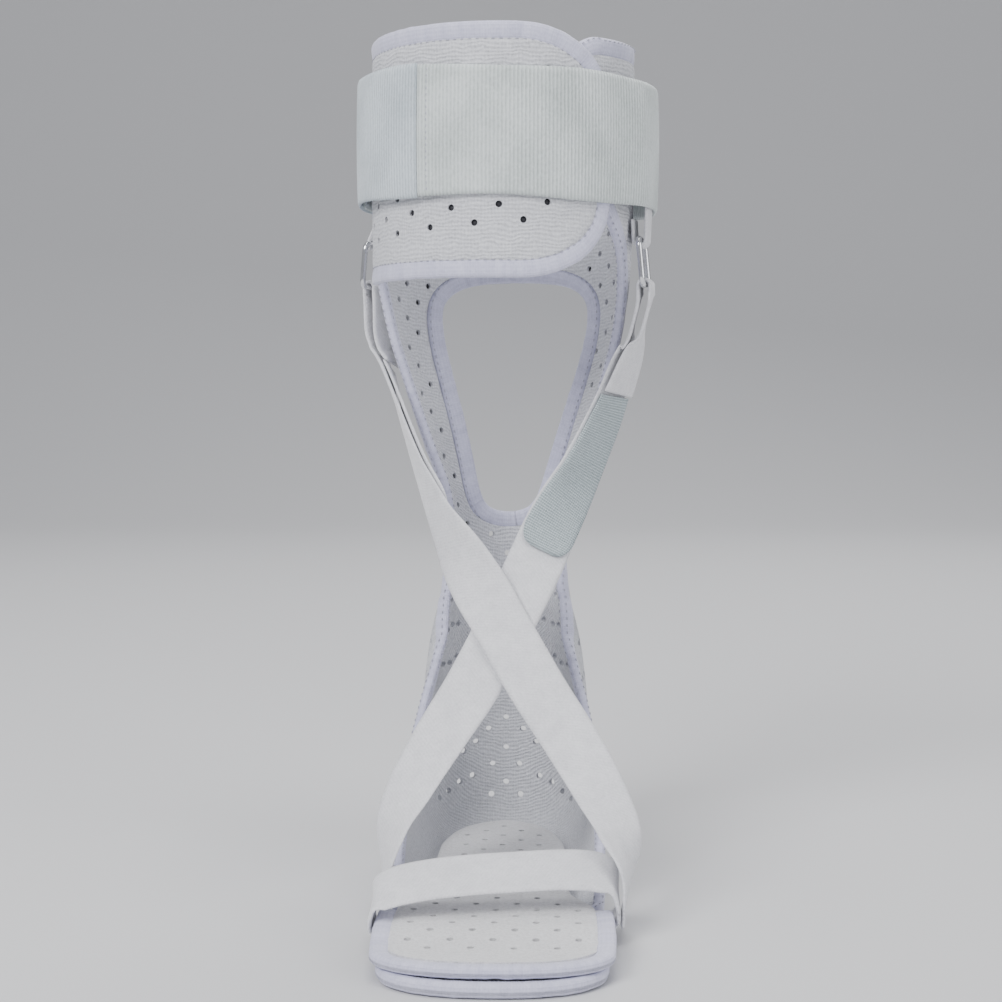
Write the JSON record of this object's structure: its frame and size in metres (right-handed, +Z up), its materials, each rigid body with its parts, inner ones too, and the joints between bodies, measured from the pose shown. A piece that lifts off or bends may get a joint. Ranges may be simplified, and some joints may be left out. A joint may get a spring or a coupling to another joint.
{
  "type": "foot drop brace",
  "caption": "Padded ankle and foot brace that stands on its sole: bound knit shell, front flap, wide calf strap, crossed straps on wire rings, insole and forefoot strap.",
  "frame": {"origin": "on the flat underside of the sole, below the ankle, midway between the side walls of the foot part", "axes": "+Z up from the sole to the top of the calf part, -Y towards the toe, +Y towards the heel, +X towards the side whose calf strap turns back under the flap's free end"},
  "size_m": [0.1339, 0.2471, 0.3708],
  "materials": {
    "knit_white": "perforated padded knit, matte",
    "binding_lavender": "soft folded binding, matte",
    "loop_fabric": "ribbed loop fabric, matte",
    "hook_fabric": "ribbed hook fabric, matte",
    "brushed_tape": "brushed webbing, matte",
    "chrome": "polished wire",
    "insole_fleece": "perforated fleece, matte"
  },
  "bodies": {
    "root": {"shell": "knit_white", "shell_binding": "binding_lavender", "window_binding": "binding_lavender", "front_flap": "knit_white", "flap_binding": "binding_lavender", "calf_strap": "loop_fabric", "calf_strap_tab": "hook_fabric", "ring_left": "chrome", "ring_right": "chrome", "ring_loop_left": "brushed_tape", "ring_loop_right": "brushed_tape", "cross_strap_front": "brushed_tape", "cross_strap_back": "brushed_tape", "hook_tab_left": "hook_fabric", "hook_tab_right": "hook_fabric", "insole": "insole_fleece", "insole_binding": "binding_lavender", "forefoot_strap": "brushed_tape"}
  },
  "joints": []
}
